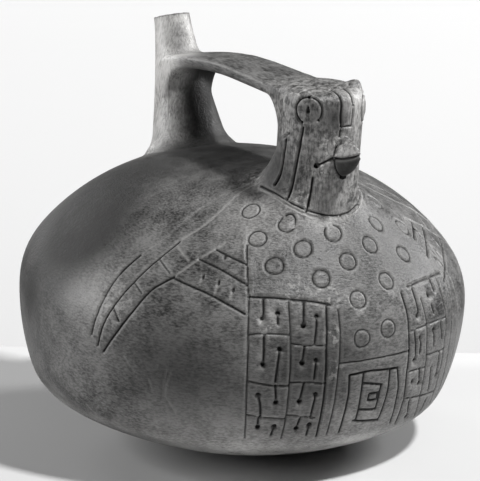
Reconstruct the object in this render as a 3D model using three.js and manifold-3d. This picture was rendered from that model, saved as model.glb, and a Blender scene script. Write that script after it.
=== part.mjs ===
// Bird-shaped pitcher of fired clay: a squat hollow body with a leaning spout at the back, a bird head as
// blind spout at the front, a strap bridge between them and incised decoration.
// Millimetres, +Z up. The bird faces -Y, and its left side is +X. Heights start at the belly.

import * as THREE from 'three';
import { mergeVertices } from 'three/addons/utils/BufferGeometryUtils.js';
import Module from 'manifold-3d';

// Body: arcs of the wall up and down from the belly, as radius and turn in degrees.
// A last arc on each side closes on the axis: the crown above and the round underside below.
const BODY_RADIUS = 85;
const BODY_WALL = 5;
const BODY_SIDES = 42;
const CAVITY_SIDES = 20;
const UPPER_ARCS = [{ radius: 26.5, turn: 37.6 }, { radius: 84, turn: 34.2 }];
const LOWER_ARCS = [{ radius: 97, turn: 20.8 }, { radius: 7.5, turn: 38.1 }];
const OUTSIDE_STEPS = { upper: [2, 4, 2], lower: [2, 1, 3] };
const CAVITY_STEPS = { upper: [1, 3, 1], lower: [2, 1, 2] };
const FORWARD_LEAN = 4.3;
const FOOT_RADIUS = 22;

// The vessel is one piece of clay, parted as a caster would part it: around the belly and across both necks.
const PARTING_GAP = 0.3;
const BELLY_PARTING = 0;
const NECK_PARTING = 54;
const SECTIONS = [
  { name: 'bowl', low: -2 * BODY_RADIUS, high: BELLY_PARTING },
  { name: 'shoulder', low: BELLY_PARTING + PARTING_GAP, high: NECK_PARTING },
  { name: 'spout_and_head', low: NECK_PARTING + PARTING_GAP, high: 2 * BODY_RADIUS },
];

// Spout: a cone that leans back and flares where it joins the body, open at the rim.
const SPOUT_FOOT = new THREE.Vector3(0, 41.3, 42.9);
const SPOUT_LEAN = 20;
const SPOUT_LENGTH = 52.4;
const SPOUT_RIM_RADIUS = 7.6;
const SPOUT_ROOT_RADIUS = 15.2;
const SPOUT_TAPER = 1.3;
const SPOUT_FLARE = 3;
const SPOUT_FLARE_HEIGHT = 6;
const SPOUT_WALL = 2;
const SPOUT_WALL_GAIN = 1;
const SPOUT_SINK = 3;
const SPOUT_SIDES = 16;
const SPOUT_LEVELS = [0, 2, 6, 16, 30, SPOUT_LENGTH];
const BORE_LEAN = 18.9;
const BORE_FLARE = 2;
const BORE_BELOW_FOOT = 11;

// Head and neck: an upright tube, closed on top. The shoulder swells up towards it, and a hollow curve
// joins its back and sides to the body.
const NECK_Y = -43.2;
const NECK_RADIUS = 15.2;
const NECK_HOLLOW_RADIUS = 10.5;
const NECK_HOLLOW_FOOT = 33;
const NECK_SIDES = 20;
const SWELL_RISE = 7;
const SWELL_SPREAD = 28;
const SWELL_POWER = 1.8;
const FILLET_RISE = 13;
const FILLET_SPREAD = 8;
const FILLET_ROWS = [8, 5, 2.6, 1, 0];
const FILLET_SINK = 0.6;
const HEAD_TOP = 88.3;
const HEAD_DOME = 0.5;
const HEAD_EDGE = 4.5;
const HEAD_ROOF = 5.5;

// Bridge: a flat strap from the spout to the back of the head, wider at both ends.
const BRIDGE_WIDTH = 18;
const BRIDGE_END_WIDTH = 23;
const BRIDGE_THICKNESS = 4;
const BRIDGE_EDGE = 1.1;
const BRIDGE_CREST = 85.2;
const BRIDGE_FALL = 5.4;
const BRIDGE_FILLET = 8;
const BRIDGE_TOP_FILLET = 2.4;
const BRIDGE_STEPS = 12;
const BRIDGE_ENDS = { spout: 44, head: -28.2, overlap: 5 };

// Beak, knob and eyes on the head.
const BEAK_HALF = new THREE.Vector3(4.8, 10.2, 6.8);
const BEAK_HEIGHT = 66;
const BEAK_SIDES = 10;
const MOUTH = { cornerAngle: 38, cornerHeight: 62, frontAngle: 10, frontHeight: 65.4, slit: 0.09 };
const EYE = { angle: 47.5, height: 80, radius: 4.9, pupil: 81 };
const KNOB = { angle: 56, reach: 11.2, height: 87.2, radius: 3.1 };
const BAND = { left: -7, right: 12.5, bottom: 76.5 };
const COLLAR = [[0, 43.3], [38, 45], [64, 47.4], [90, 50], [114, 50.5]];
const NECK_LINES = [[[62, 73], [76.5, 47.5]], [[88, 70.5], [116, 49.5]], [[41, 57.5], [46, 44.5]]];

// Incised lines are V-shaped cuts, and dots are small pits.
const CUT_DEPTH = 0.7;
const CUT_HALF_WIDTH = 0.6;
const CUT_STEP = 12;
const PIT_RADIUS = 1.2;
const RING_RADIUS = 3.4;
const RING_SIDES = 8;

// Breast rings in upright rows: sideways offset and height up the wall of the lowest, drift sideways from
// ring to ring, and count.
const RING_PITCH = 11.5;
const RING_ROWS = [
  { offset: -30.5, drift: 1, lowest: 34, count: 3 },
  { offset: -15.5, drift: -2, lowest: 27.5, count: 3 },
  { offset: -3.5, drift: 0, lowest: 19.5, count: 3 },
  { offset: 11.4, drift: -1.5, lowest: 24, count: 2 },
  { offset: 26.2, drift: -8, lowest: 32, count: 2 },
  { offset: 35.9, drift: -8.5, lowest: 41, count: 2 },
  { offset: -4.9, drift: 0, lowest: 5.5, count: 1 },
  { offset: 7, drift: 0, lowest: 7.4, count: 1 },
];

// Panels of small cells left and right of the breast: angles of the upright lines from the middle outwards,
// and heights of the cross lines in each column.
const PANEL_TOP = 20.5;
const PANEL_BOTTOM = -34;
const PANELS = [
  { side: -1, lines: [12.7, 22.2, 32.5], strips: [9.5], rows: [[5, -9.4, -23], [8.8, -9.5, -23.1]] },
  { side: 1, lines: [12.5, 20.5, 29.5], strips: [33], rows: [[4.7, -11.3, -24], [4.4, -8, -27]] },
];
const CELL_STROKES = { left: 0.27, right: 0.73, length: 0.62 };

// Nested frames of the middle panel: left and right angle, top and bottom height, and the side left open.
const MIDDLE_TOP = -3;
const FRAMES = [
  { left: -6.4, right: 9.4, top: -8.2, bottom: PANEL_BOTTOM, open: 'bottom' },
  { left: -2.3, right: 6, top: -8.2, bottom: -28.5, open: 'top' },
  { left: -2.3, right: 3.6, top: -12.6, bottom: -23.3, open: 'left' },
  { left: 0, right: 3, top: -16.4, bottom: -19.4 },
];

// Wing lines as angle and height up the wall, from the neck down to the belly, given for one side.
// Ticks join the middle and the lower line at shares of their lengths.
const WING_UPPER = [[36, 73.8], [43, 72], [54.4, 59.3], [68.4, 33.5], [74, -1.5]];
const WING_MIDDLE = [[34, 71.5], [45, 65], [57, 40.3], [68, 11], [71.6, -5.5]];
const WING_LOWER = [[41.3, 43.9], [54.1, 26.9], [63.4, 8.1], [69.5, -6.2]];
const WING_TICKS = [[0.47, 0.24], [0.58, 0.38], [0.71, 0.55], [0.84, 0.72]];
const FEATHERS = [[[44.1, 41], [33.6, 35.3]], [[48.3, 36], [33.4, 27.4]], [[54, 26.6], [33.6, 16]]];
const WING_EDGE = { angle: 33, top: 43.8 };

// Fineness: corners closer than this are one, and steps used to find a surface's slope and a point on it.
const SAME_CORNER = 1e-4;
const NUDGE = 0.1;
const HALVINGS = 20;

const wasm = await Module();
wasm.setup();

const radians = THREE.MathUtils.degToRad;
const { clamp, lerp } = THREE.MathUtils;

// A closed geometry as a solid: shared corners are merged and flat triangles at the poles are dropped.
function solid(geometry) {
  geometry.deleteAttribute('normal');
  geometry.deleteAttribute('uv');
  const merged = mergeVertices(geometry, SAME_CORNER);
  const corners = merged.index.array;
  const triangles = [];
  for (let i = 0; i < corners.length; i += 3) {
    const [a, b, c] = corners.slice(i, i + 3);
    if (a !== b && b !== c && c !== a) triangles.push(a, b, c);
  }
  return new wasm.Manifold(new wasm.Mesh({
    numProp: 3,
    vertProperties: new Float32Array(merged.attributes.position.array),
    triVerts: new Uint32Array(triangles),
  }));
}

// Moves every corner of a geometry to where the given function puts it.
function reshape(geometry, place) {
  const position = geometry.attributes.position;
  const corner = new THREE.Vector3();
  for (let i = 0; i < position.count; i += 1) {
    const moved = place(corner.fromBufferAttribute(position, i));
    position.setXYZ(i, moved.x, moved.y, moved.z);
  }
  return geometry;
}

// A turned form around the Z axis, from profile points of radius and height.
function turned(profile, sides) {
  return new THREE.LatheGeometry(profile, sides).rotateX(Math.PI / 2);
}

// The chain of arcs from the belly towards the crown (side 1) or the underside (side -1).
function wallArcs(turns, side) {
  const arcs = [];
  let angle = 0;
  const end = new THREE.Vector2(BODY_RADIUS, 0);
  const heading = () => new THREE.Vector2(Math.cos(angle), side * Math.sin(angle));
  for (const { radius, turn } of turns) {
    const centre = end.clone().addScaledVector(heading(), -radius);
    arcs.push({ centre, radius, side, start: angle, sweep: radians(turn) });
    angle += radians(turn);
    end.copy(centre).addScaledVector(heading(), radius);
  }
  const radius = end.x / Math.cos(angle);
  const centre = new THREE.Vector2(0, end.y - side * radius * Math.sin(angle));
  arcs.push({ centre, radius, side, start: angle, sweep: Math.PI / 2 - angle });
  return arcs;
}

const upperArcs = wallArcs(UPPER_ARCS, 1);
const lowerArcs = wallArcs(LOWER_ARCS, -1);

function arcPoint(arc, share, inset) {
  const angle = arc.start + share * arc.sweep;
  const radius = arc.radius - inset;
  return new THREE.Vector2(
    Math.max(0, arc.centre.x + radius * Math.cos(angle)),
    arc.centre.y + arc.side * radius * Math.sin(angle),
  );
}

// The body's profile from the middle of the underside up to the crown, set in by a wall's thickness.
function bodyProfile(inset, { upper, lower }) {
  const half = (arcs, steps) => arcs.flatMap((arc, i) => (
    Array.from({ length: steps[i] }, (_, step) => arcPoint(arc, (step + 1) / steps[i], inset))
  ));
  const belly = new THREE.Vector2(BODY_RADIUS - inset, 0);
  return [...half(lowerArcs, lower).reverse(), belly, ...half(upperArcs, upper)];
}

// Radius and height at a distance along the wall from the belly, up or down.
function wallProfile(distance) {
  const arcs = distance < 0 ? lowerArcs : upperArcs;
  let left = Math.abs(distance);
  let i = 0;
  while (i < arcs.length - 1 && left > arcs[i].radius * arcs[i].sweep) {
    left -= arcs[i].radius * arcs[i].sweep;
    i += 1;
  }
  return arcPoint(arcs[i], left / (arcs[i].radius * arcs[i].sweep), 0);
}

// Height of the shoulder and crown at a distance from the body's axis.
function shoulderHeight(reach) {
  const innerEnd = (arc) => arc.centre.x + arc.radius * Math.cos(arc.start + arc.sweep);
  const arc = upperArcs.find((candidate) => reach >= innerEnd(candidate)) ?? upperArcs.at(-1);
  const across = Math.min(reach - arc.centre.x, arc.radius);
  return arc.centre.y + Math.sqrt(arc.radius ** 2 - across ** 2);
}

// How far the shoulder swells above the round body, more and more towards the neck.
function swell(x, y) {
  const share = (Math.hypot(x, y - NECK_Y) - NECK_RADIUS) / SWELL_SPREAD;
  return SWELL_RISE * (1 - Math.min(share, 1)) ** SWELL_POWER;
}

// How far the hollow curve around the neck stands above the shoulder: nothing in front, most behind.
function neckFillet(x, y) {
  const reach = Math.hypot(x, y - NECK_Y);
  const behind = (1 + (y - NECK_Y) / Math.max(reach, NECK_RADIUS)) / 2;
  const share = clamp((reach - NECK_RADIUS) / FILLET_SPREAD, 0, 1);
  return FILLET_RISE * behind * (1 - share) ** 2;
}

function shoulder(x, y) {
  return shoulderHeight(Math.hypot(x, y)) + swell(x, y) + neckFillet(x, y);
}

// A point on the body's outside: angle from the breast towards +X, and distance up the wall from the belly.
function onBody(angle, distance) {
  const { x: reach, y: height } = wallProfile(distance);
  const x = reach * Math.sin(radians(angle));
  const y = -reach * Math.cos(radians(angle));
  return new THREE.Vector3(x, y, distance > 0 ? height + swell(x, y) + neckFillet(x, y) : height);
}

// A point on the outside of head and neck: angle from the beak towards +X, and height.
// Low down it moves outwards on the hollow curve, until the curve is no higher than the point.
function onHead(angle, height) {
  const place = (reach) => new THREE.Vector3(
    reach * Math.sin(radians(angle)),
    NECK_Y - reach * Math.cos(radians(angle)),
    height,
  );
  let near = NECK_RADIUS;
  let far = NECK_RADIUS + FILLET_SPREAD;
  for (let i = 0; i < HALVINGS; i += 1) {
    const middle = (near + far) / 2;
    const { x, y } = place(middle);
    if (shoulder(x, y) > height) near = middle;
    else far = middle;
  }
  return place(near);
}

function outward(surface, angle, height) {
  const across = surface(angle + NUDGE, height).sub(surface(angle - NUDGE, height));
  const upwards = surface(angle, height + NUDGE).sub(surface(angle, height - NUDGE));
  return across.cross(upwards).normalize();
}

// A line drawn on a surface by its angles and heights. Its section stays square to the surface.
class IncisedLine extends THREE.Curve {
  constructor(surface, stops) {
    super();
    this.surface = surface;
    this.plan = new THREE.SplineCurve(stops.map(([angle, height]) => new THREE.Vector2(angle, height)));
  }

  getPoint(t) {
    const { x: angle, y: height } = this.plan.getPoint(t);
    return this.surface(angle, height);
  }

  computeFrenetFrames(steps) {
    const tangents = [];
    const normals = [];
    const binormals = [];
    for (let i = 0; i <= steps; i += 1) {
      const { x: angle, y: height } = this.plan.getPoint(this.getUtoTmapping(i / steps));
      tangents.push(this.getTangentAt(i / steps));
      normals.push(outward(this.surface, angle, height));
      binormals.push(new THREE.Vector3().crossVectors(tangents[i], normals[i]));
    }
    return { tangents, normals, binormals };
  }
}

function cut(surface, stops) {
  const line = new IncisedLine(surface, stops);
  const section = new THREE.Shape([
    new THREE.Vector2(-CUT_DEPTH, 0),
    new THREE.Vector2(CUT_DEPTH, -2 * CUT_HALF_WIDTH),
    new THREE.Vector2(CUT_DEPTH, 2 * CUT_HALF_WIDTH),
  ]);
  const steps = Math.max(1, Math.round(line.getLength() / CUT_STEP));
  return solid(new THREE.ExtrudeGeometry(section, { steps, extrudePath: line }));
}

function pit(surface, angle, height) {
  const { x, y, z } = surface(angle, height);
  return solid(new THREE.OctahedronGeometry(PIT_RADIUS).translate(x, y, z));
}

// A round cut pressed onto a surface around the given place.
function ringCut(surface, angle, height, radius) {
  const centre = surface(angle, height);
  const degreesPerMm = NUDGE / surface(angle + NUDGE, height).distanceTo(centre);
  const ring = new THREE.TorusGeometry(radius, CUT_DEPTH, 4, RING_SIDES);
  return solid(reshape(ring, ({ x, y, z }) => {
    const foot = surface(angle + x * degreesPerMm, height + y);
    return foot.addScaledVector(outward(surface, angle + x * degreesPerMm, height + y), z);
  }));
}

const mirrored = (stops) => stops.map(([angle, height]) => [-angle, height]);

function breastRings() {
  return RING_ROWS.flatMap(({ offset, drift, lowest, count }) => (
    Array.from({ length: count }, (_, i) => {
      const height = lowest + i * RING_PITCH;
      const angle = THREE.MathUtils.radToDeg((offset + i * drift) / wallProfile(height).x);
      return ringCut(onBody, angle, height, RING_RADIUS);
    })
  ));
}

// Two strokes fill each cell: the left one hangs from its top, and the right one stands on its bottom.
function cellMarks(left, right, top, bottom) {
  const hanging = lerp(left, right, CELL_STROKES.left);
  const standing = lerp(left, right, CELL_STROKES.right);
  return [
    cut(onBody, [[hanging, top], [hanging, lerp(top, bottom, CELL_STROKES.length)]]),
    cut(onBody, [[standing, bottom], [standing, lerp(bottom, top, CELL_STROKES.length)]]),
  ];
}

function cellPanel({ side, lines, strips, rows }) {
  const angles = lines.map((angle) => side * angle);
  const uprights = [...angles, ...strips.map((angle) => side * angle)];
  const cuts = uprights.map((angle) => cut(onBody, [[angle, PANEL_TOP], [angle, PANEL_BOTTOM]]));
  cuts.push(cut(onBody, [[angles[0], PANEL_TOP], [angles[2], PANEL_TOP]]));
  rows.forEach((heights, column) => {
    const edges = [angles[column], angles[column + 1]];
    const [left, right] = [Math.min(...edges), Math.max(...edges)];
    const levels = [PANEL_TOP, ...heights, PANEL_BOTTOM];
    heights.forEach((height) => cuts.push(cut(onBody, [[left, height], [right, height]])));
    levels.slice(1).forEach((bottom, i) => cuts.push(...cellMarks(left, right, levels[i], bottom)));
  });
  return cuts;
}

function middlePanel() {
  const [leftStrip, rightLine] = [-PANELS[0].strips[0], PANELS[1].lines[0]];
  const cuts = [cut(onBody, [[leftStrip, MIDDLE_TOP], [rightLine, MIDDLE_TOP]])];
  FRAMES.forEach(({ left, right, top, bottom, open }) => {
    const sides = {
      top: [[left, top], [right, top]],
      left: [[left, top], [left, bottom]],
      right: [[right, top], [right, bottom]],
      bottom: [[left, bottom], [right, bottom]],
    };
    delete sides[open];
    Object.values(sides).forEach((stops) => cuts.push(cut(onBody, stops)));
  });
  return cuts;
}

function wing(oneSide) {
  const [upper, middle, lower] = [WING_UPPER, WING_MIDDLE, WING_LOWER].map(oneSide);
  const middleLine = new IncisedLine(onBody, middle);
  const lowerLine = new IncisedLine(onBody, lower);
  const edge = oneSide([[WING_EDGE.angle, WING_EDGE.top], [WING_EDGE.angle, PANEL_TOP]]);
  const cuts = [upper, middle, lower, edge].map((stops) => cut(onBody, stops));
  for (const [middleShare, lowerShare] of WING_TICKS) {
    const from = middleLine.plan.getPoint(middleShare);
    const to = lowerLine.plan.getPoint(lowerShare);
    cuts.push(cut(onBody, [[from.x, from.y], [to.x, to.y]]));
  }
  FEATHERS.forEach((stops) => cuts.push(cut(onBody, oneSide(stops))));
  return cuts;
}

function headCuts() {
  const cuts = [];
  for (const side of [-1, 1]) {
    const corner = [side * MOUTH.cornerAngle, MOUTH.cornerHeight];
    cuts.push(ringCut(onHead, side * EYE.angle, EYE.height, EYE.radius));
    cuts.push(pit(onHead, side * EYE.angle, EYE.pupil));
    cuts.push(pit(onHead, ...corner));
    cuts.push(cut(onHead, [corner, [side * MOUTH.frontAngle, MOUTH.frontHeight]]));
    for (const stops of NECK_LINES) {
      cuts.push(cut(onHead, stops.map(([angle, height]) => [side * angle, height])));
    }
  }
  cuts.push(cut(onHead, [...mirrored(COLLAR.slice(1)).reverse(), ...COLLAR]));
  cuts.push(cut(onHead, [[BAND.left, BAND.bottom], [BAND.left, HEAD_TOP - HEAD_EDGE]]));
  cuts.push(cut(onHead, [[BAND.right, BAND.bottom], [BAND.right, HEAD_TOP - HEAD_EDGE]]));
  cuts.push(cut(onHead, [[BAND.left, BAND.bottom], [BAND.right, BAND.bottom]]));
  const slit = new THREE.TorusGeometry(1, MOUTH.slit, 4, BEAK_SIDES);
  slit.scale(BEAK_HALF.x, BEAK_HALF.y, BEAK_HALF.x);
  cuts.push(solid(slit.translate(0, NECK_Y - NECK_RADIUS, MOUTH.frontHeight)));
  return cuts;
}

function spoutRadius(height, flare) {
  const taper = (1 - height / SPOUT_LENGTH) ** SPOUT_TAPER;
  const spread = flare * Math.max(0, 1 - height / SPOUT_FLARE_HEIGHT) ** 2;
  return SPOUT_RIM_RADIUS + (SPOUT_ROOT_RADIUS - SPOUT_RIM_RADIUS) * taper + spread;
}

function spout() {
  const levels = [-SPOUT_SINK, ...SPOUT_LEVELS];
  const outside = levels.map((height) => new THREE.Vector2(spoutRadius(height, SPOUT_FLARE), height));
  const profile = [new THREE.Vector2(0, -SPOUT_SINK), ...outside, new THREE.Vector2(0, SPOUT_LENGTH)];
  const { x, y, z } = SPOUT_FOOT;
  return turned(profile, SPOUT_SIDES).rotateX(-radians(SPOUT_LEAN)).translate(x, y, z);
}

// The bore hangs from the rim and leans a little less than the outside. Its wall thickens towards the body.
function spoutBore() {
  const levels = [-BORE_BELOW_FOOT, ...SPOUT_LEVELS, SPOUT_LENGTH + 1];
  const inside = levels.map((height) => {
    const level = clamp(height, 0, SPOUT_LENGTH);
    const wall = SPOUT_WALL + SPOUT_WALL_GAIN * (1 - level / SPOUT_LENGTH);
    return new THREE.Vector2(spoutRadius(level, BORE_FLARE) - wall, height - SPOUT_LENGTH);
  });
  const bottom = new THREE.Vector2(0, inside[0].y);
  const top = new THREE.Vector2(0, inside.at(-1).y);
  const axis = new THREE.Vector3(0, Math.sin(radians(SPOUT_LEAN)), Math.cos(radians(SPOUT_LEAN)));
  const { x, y, z } = SPOUT_FOOT.clone().addScaledVector(axis, SPOUT_LENGTH);
  return turned([bottom, ...inside, top], SPOUT_SIDES).rotateX(-radians(BORE_LEAN)).translate(x, y, z);
}

// Rows of the foot lie just under the shoulder's surface, rows of the head are measured from the belly.
function headAndNeck() {
  const profile = [
    new THREE.Vector2(0, -SWELL_RISE - FILLET_RISE),
    ...FILLET_ROWS.map((spread) => new THREE.Vector2(NECK_RADIUS + spread, -FILLET_SINK)),
    ...[0, 30, 60, 90].map((turn) => new THREE.Vector2(
      NECK_RADIUS - HEAD_EDGE * (1 - Math.cos(radians(turn))),
      HEAD_TOP - HEAD_EDGE * (1 - Math.sin(radians(turn))),
    )),
    new THREE.Vector2(0, HEAD_TOP + HEAD_DOME),
  ];
  const form = turned(profile, NECK_SIDES).translate(0, NECK_Y, 0);
  return reshape(form, ({ x, y, z }) => (
    new THREE.Vector3(x, y, z > 0 ? z : z + shoulder(x, y))
  ));
}

function neckHollow() {
  const top = HEAD_TOP - HEAD_ROOF;
  const profile = [
    new THREE.Vector2(0, NECK_HOLLOW_FOOT),
    new THREE.Vector2(NECK_HOLLOW_RADIUS, NECK_HOLLOW_FOOT),
    new THREE.Vector2(NECK_HOLLOW_RADIUS, top - HEAD_EDGE),
    new THREE.Vector2(NECK_HOLLOW_RADIUS - HEAD_EDGE, top),
    new THREE.Vector2(0, top),
  ];
  return turned(profile, NECK_SIDES / 2).translate(0, NECK_Y, 0);
}

// The strap's side view. Its underside curves down into the spout and into the back of the head.
function bridge() {
  const { spout: spoutEnd, head: headEnd, overlap } = BRIDGE_ENDS;
  const reaches = Array.from({ length: BRIDGE_STEPS + 1 }, (_, i) => (
    lerp(spoutEnd + overlap, headEnd - overlap, i / BRIDGE_STEPS)
  ));
  const nearness = (gap) => clamp(1 - gap / BRIDGE_FILLET, 0, 1) ** 2;
  const filletAt = (y) => nearness(spoutEnd - y) + nearness(y - headEnd);
  const crestAt = (y) => BRIDGE_CREST - BRIDGE_FALL * (Math.max(0, y) / spoutEnd) ** 2;
  const top = reaches.map((y) => new THREE.Vector2(y, crestAt(y) + BRIDGE_TOP_FILLET * filletAt(y)));
  const underside = reaches.map((y) => (
    new THREE.Vector2(y, crestAt(y) - BRIDGE_THICKNESS - BRIDGE_FILLET * filletAt(y))
  ));
  const strap = new THREE.ExtrudeGeometry(new THREE.Shape([...top, ...underside.reverse()]), {
    depth: BRIDGE_WIDTH - 2 * BRIDGE_EDGE,
    bevelThickness: BRIDGE_EDGE,
    bevelSize: BRIDGE_EDGE,
    bevelOffset: -BRIDGE_EDGE,
    bevelSegments: 1,
  });
  strap.translate(0, 0, BRIDGE_EDGE - BRIDGE_WIDTH / 2);
  return reshape(strap, ({ x: y, y: z, z: across }) => {
    const share = clamp((y - headEnd) / (spoutEnd - headEnd), 0, 1);
    const widening = 1 + (BRIDGE_END_WIDTH / BRIDGE_WIDTH - 1) * (2 * share - 1) ** 4;
    return new THREE.Vector3(across * widening, y, z);
  });
}

function beak() {
  const lump = new THREE.SphereGeometry(1, BEAK_SIDES, 6).scale(BEAK_HALF.x, BEAK_HALF.y, BEAK_HALF.z);
  return lump.translate(0, NECK_Y - NECK_RADIUS, BEAK_HEIGHT);
}

function knob() {
  const angle = radians(KNOB.angle);
  const lump = new THREE.IcosahedronGeometry(KNOB.radius);
  return lump.translate(KNOB.reach * Math.sin(angle), NECK_Y - KNOB.reach * Math.cos(angle), KNOB.height);
}

// The ground, tilted as the body sees it, cuts a small flat foot where the leaning body rests.
function ground() {
  const underside = lowerArcs[2];
  const size = 4 * BODY_RADIUS;
  const level = -Math.sqrt(underside.radius ** 2 - FOOT_RADIUS ** 2);
  const block = new THREE.BoxGeometry(size, size, size).translate(0, 0, level - size / 2);
  return block.rotateX(-radians(FORWARD_LEAN)).translate(0, 0, underside.centre.y);
}

// The round wall, outside or inside, with its shoulder swelling towards the neck.
function bodyForm(inset, steps, sides) {
  return reshape(turned(bodyProfile(inset, steps), sides), ({ x, y, z }) => (
    new THREE.Vector3(x, y, z > 0 ? z + swell(x, y) : z)
  ));
}

const body = bodyForm(0, OUTSIDE_STEPS, BODY_SIDES);
const cavity = bodyForm(BODY_WALL, CAVITY_STEPS, CAVITY_SIDES);
const outside = [body, spout(), headAndNeck(), bridge(), beak(), knob()];
const hollows = [cavity, neckHollow(), spoutBore(), ground()];
const decoration = [
  ...breastRings(),
  ...PANELS.flatMap(cellPanel),
  ...middlePanel(),
  ...wing(mirrored),
  ...wing((stops) => stops),
  ...headCuts(),
];

let vessel = outside.map(solid).reduce((whole, piece) => whole.add(piece));
for (const hollow of [...hollows.map(solid), ...decoration]) vessel = vessel.subtract(hollow);

// One section of the vessel between two heights.
function section({ name, low, high }) {
  const size = 4 * BODY_RADIUS;
  const slab = new THREE.BoxGeometry(size, size, high - low).translate(0, 0, (low + high) / 2);
  const { vertProperties, triVerts } = vessel.intersect(solid(slab)).getMesh();
  const geometry = new THREE.BufferGeometry();
  geometry.setAttribute('position', new THREE.BufferAttribute(new Float32Array(vertProperties), 3));
  geometry.setIndex(new THREE.BufferAttribute(new Uint32Array(triVerts), 1));
  geometry.computeVertexNormals();
  const mesh = new THREE.Mesh(geometry, clay);
  mesh.name = name;
  return mesh;
}

const clay = new THREE.MeshStandardMaterial({ color: 0x55524e, roughness: 0.5, metalness: 0 });

// The vessel leans forward on its foot. Its origin is under the middle of its box, on the ground.
const group = new THREE.Group();
group.add(...SECTIONS.map(section));
group.rotation.x = radians(FORWARD_LEAN);
const { min, max } = new THREE.Box3().setFromObject(group, true);
group.position.set(-(min.x + max.x) / 2, -(min.y + max.y) / 2, -min.z);

export default group;
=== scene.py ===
import math

import bpy
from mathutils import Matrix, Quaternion, Vector, kdtree, noise


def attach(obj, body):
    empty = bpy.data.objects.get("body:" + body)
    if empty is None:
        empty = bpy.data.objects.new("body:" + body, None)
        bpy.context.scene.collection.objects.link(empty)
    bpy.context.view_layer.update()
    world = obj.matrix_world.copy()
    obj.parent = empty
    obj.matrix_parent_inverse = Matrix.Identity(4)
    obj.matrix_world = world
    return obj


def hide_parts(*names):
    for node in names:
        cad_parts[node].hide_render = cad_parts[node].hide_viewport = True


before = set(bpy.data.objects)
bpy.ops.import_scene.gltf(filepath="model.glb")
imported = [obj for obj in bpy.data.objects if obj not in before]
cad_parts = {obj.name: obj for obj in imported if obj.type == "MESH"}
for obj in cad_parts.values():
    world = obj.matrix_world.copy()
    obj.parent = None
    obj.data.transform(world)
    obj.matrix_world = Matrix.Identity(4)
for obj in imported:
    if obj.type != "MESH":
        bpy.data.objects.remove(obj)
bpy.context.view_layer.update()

# The body: a squat hollow vessel of dark clay, built up from coils, scraped round and burnished with
# a pebble. It is shaped upright on its own axis, with heights from the belly, and leans forward once
# all is joined. The shoulder swells up around the neck, where the head was set on.
BELLY_RADIUS = 0.085
UPPER_BENDS = ((0.0265, 37.6), (0.084, 34.2))
LOWER_BENDS = ((0.097, 20.8), (0.0075, 38.1))
BODY_ROWS, BODY_SIDES = 101, 234
NECK_Y = -0.0432
NECK_RADIUS = 0.0152
SWELL_RISE, SWELL_SPREAD = 0.007, 0.028
HOLLOW_CURVE_RISE, HOLLOW_CURVE_SPREAD = 0.013, 0.008


def wall_arcs(bends, side):
    """The arcs of the wall from the belly to the axis: centre, radius, first angle and sweep."""
    arcs = []
    angle = 0.0
    end = Vector((BELLY_RADIUS, 0.0))
    for radius, turn in bends:
        centre = end - radius * Vector((math.cos(angle), side * math.sin(angle)))
        arcs.append((centre, radius, angle, math.radians(turn)))
        angle += math.radians(turn)
        end = centre + radius * Vector((math.cos(angle), side * math.sin(angle)))
    radius = end.x / math.cos(angle)
    centre = Vector((0.0, end.y - side * radius * math.sin(angle)))
    arcs.append((centre, radius, angle, math.pi / 2 - angle))
    return arcs


upper_arcs = wall_arcs(UPPER_BENDS, 1)
lower_arcs = wall_arcs(LOWER_BENDS, -1)


def wall(rise, inset=0.0):
    """Radius and height of the wall at a distance up or down it from the belly."""
    arcs, side = (upper_arcs, 1) if rise >= 0 else (lower_arcs, -1)
    left = abs(rise)
    for arc in arcs:
        centre, radius, start, sweep = arc
        if left <= radius * sweep or arc is arcs[-1]:
            break
        left -= radius * sweep
    angle = start + min(left / radius, sweep)
    across = centre.x + (radius - inset) * math.cos(angle)
    return max(across, 0.0002), centre.y + side * (radius - inset) * math.sin(angle)


def shoulder_height(reach):
    for centre, radius, start, sweep in upper_arcs:
        if reach >= centre.x + radius * math.cos(start + sweep):
            break
    across = min(reach - centre.x, radius)
    return centre.y + math.sqrt(radius ** 2 - across ** 2)


def swell(x, y):
    share = (math.hypot(x, y - NECK_Y) - NECK_RADIUS) / SWELL_SPREAD
    return SWELL_RISE * (1 - min(share, 1)) ** 1.8


def neck_hollow_curve(x, y):
    """How far the hollow curve around the neck stands above the shoulder: nothing in front, most behind."""
    reach = math.hypot(x, y - NECK_Y)
    behind = (1 + (y - NECK_Y) / max(reach, NECK_RADIUS)) / 2
    share = min(max((reach - NECK_RADIUS) / HOLLOW_CURVE_SPREAD, 0), 1)
    return HOLLOW_CURVE_RISE * behind * (1 - share) ** 2


def shoulder(x, y):
    return shoulder_height(math.hypot(x, y)) + swell(x, y) + neck_hollow_curve(x, y)


def turned(name, levels, sides):
    """A closed turned form: a filled circle extruded from level to level, each a radius and a height."""
    bpy.ops.object.select_all(action='DESELECT')
    radius, height = levels[0]
    bpy.ops.mesh.primitive_circle_add(vertices=sides, radius=radius, fill_type='NGON',
                                      location=(0, 0, height))
    form = bpy.context.object
    form.name = name
    bpy.ops.object.transform_apply(location=True, rotation=True, scale=True)
    bpy.ops.object.mode_set(mode='EDIT')
    bpy.ops.mesh.select_all(action='SELECT')
    for next_radius, next_height in levels[1:]:
        bpy.ops.mesh.extrude_region_move(TRANSFORM_OT_translate={"value": (0, 0, next_height - height)})
        growth = next_radius / radius
        bpy.ops.transform.resize(value=(growth, growth, 1), center_override=(0, 0, next_height))
        radius, height = next_radius, next_height
    bpy.ops.mesh.select_all(action='SELECT')
    bpy.ops.mesh.normals_make_consistent(inside=False)
    bpy.ops.object.mode_set(mode='OBJECT')
    return form


def wall_levels(inset, rows):
    lowest = -sum(radius * sweep for _, radius, _, sweep in lower_arcs)
    highest = sum(radius * sweep for _, radius, _, sweep in upper_arcs)
    return [wall(lowest + (highest - lowest) * row / rows, inset) for row in range(rows + 1)]


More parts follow.
